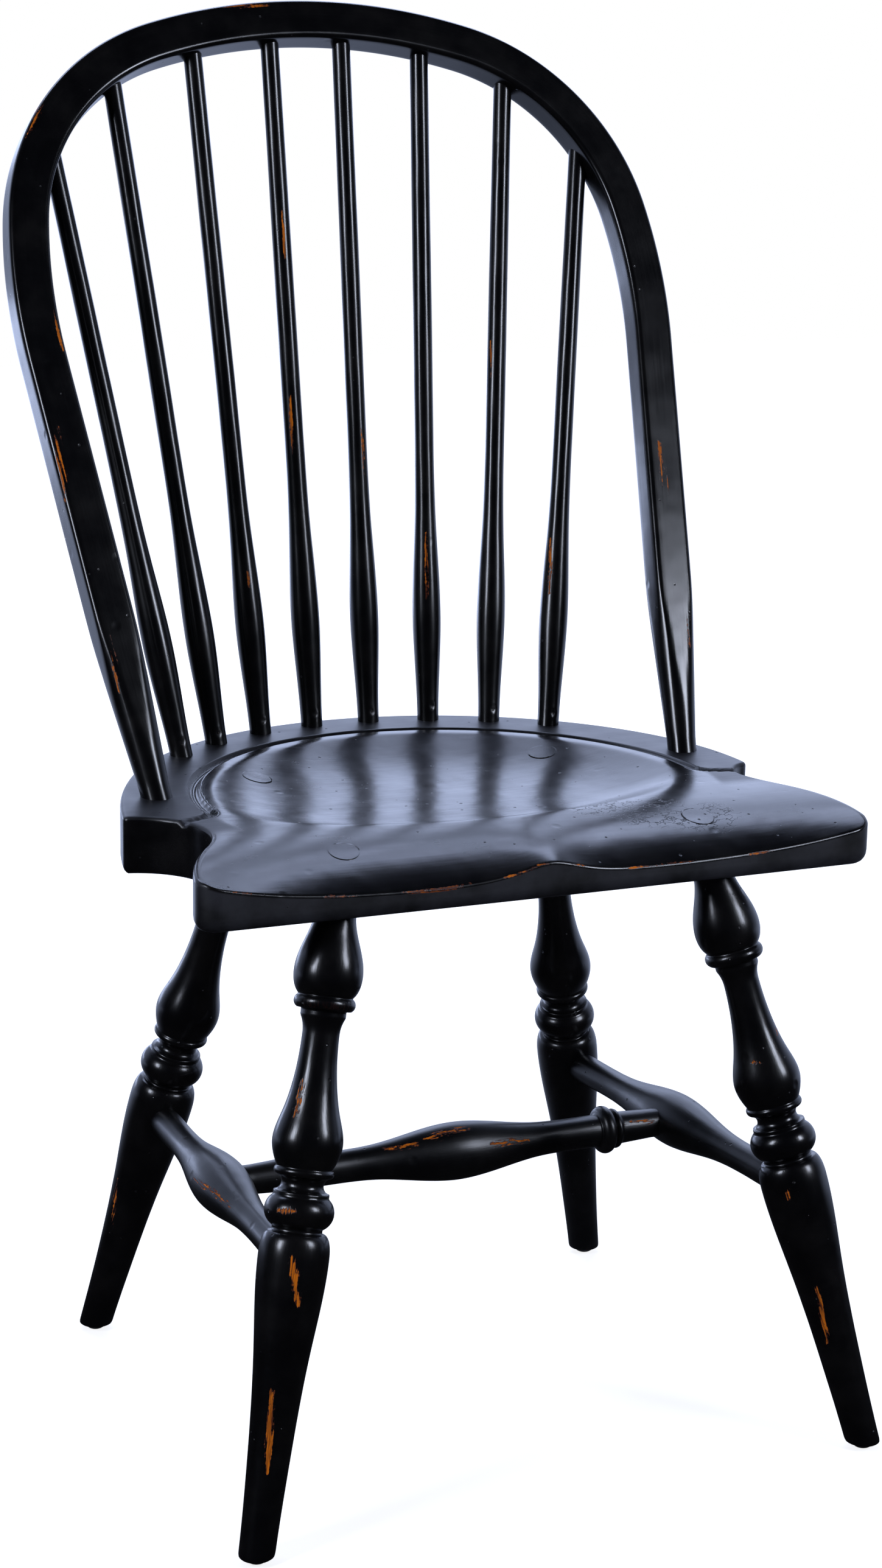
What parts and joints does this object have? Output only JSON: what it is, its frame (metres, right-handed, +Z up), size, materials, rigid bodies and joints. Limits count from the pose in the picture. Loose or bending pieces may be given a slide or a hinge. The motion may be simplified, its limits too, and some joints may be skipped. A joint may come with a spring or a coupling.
{
  "type": "side chair",
  "caption": "Armless side chair with a steam-bent bow back, turned spindles, a carved saddle seat on splayed turned legs and an H-shaped stretcher, in worn black paint.",
  "frame": {"origin": "on the floor under the middle of the chair's bounding box", "axes": "+Z up, -Y out of the front of the seat, +X to the right as one faces the chair"},
  "size_m": [0.5072, 0.5294, 0.9722],
  "materials": {
    "painted_wood": "worn satin black paint over wood",
    "glide_steel": "dull",
    "brad_iron": "painted over"
  },
  "bodies": {
    "root": {"bow": "painted_wood", "bow_wedge_left": "painted_wood", "bow_wedge_right": "painted_wood", "brads": "brad_iron", "cross_stretcher": "painted_wood", "glide_front_left": "glide_steel", "glide_front_right": "glide_steel", "glide_rear_left": "glide_steel", "glide_rear_right": "glide_steel", "leg_front_left": "painted_wood", "leg_front_right": "painted_wood", "leg_rear_left": "painted_wood", "leg_rear_right": "painted_wood", "leg_wedge_front_left": "painted_wood", "leg_wedge_front_right": "painted_wood", "leg_wedge_rear_left": "painted_wood", "leg_wedge_rear_right": "painted_wood", "seat": "painted_wood", "side_stretcher_left": "painted_wood", "side_stretcher_right": "painted_wood", "spindle_1": "painted_wood", "spindle_2": "painted_wood", "spindle_3": "painted_wood", "spindle_4": "painted_wood", "spindle_5": "painted_wood", "spindle_6": "painted_wood", "spindle_7": "painted_wood", "spindle_8": "painted_wood"}
  },
  "joints": []
}
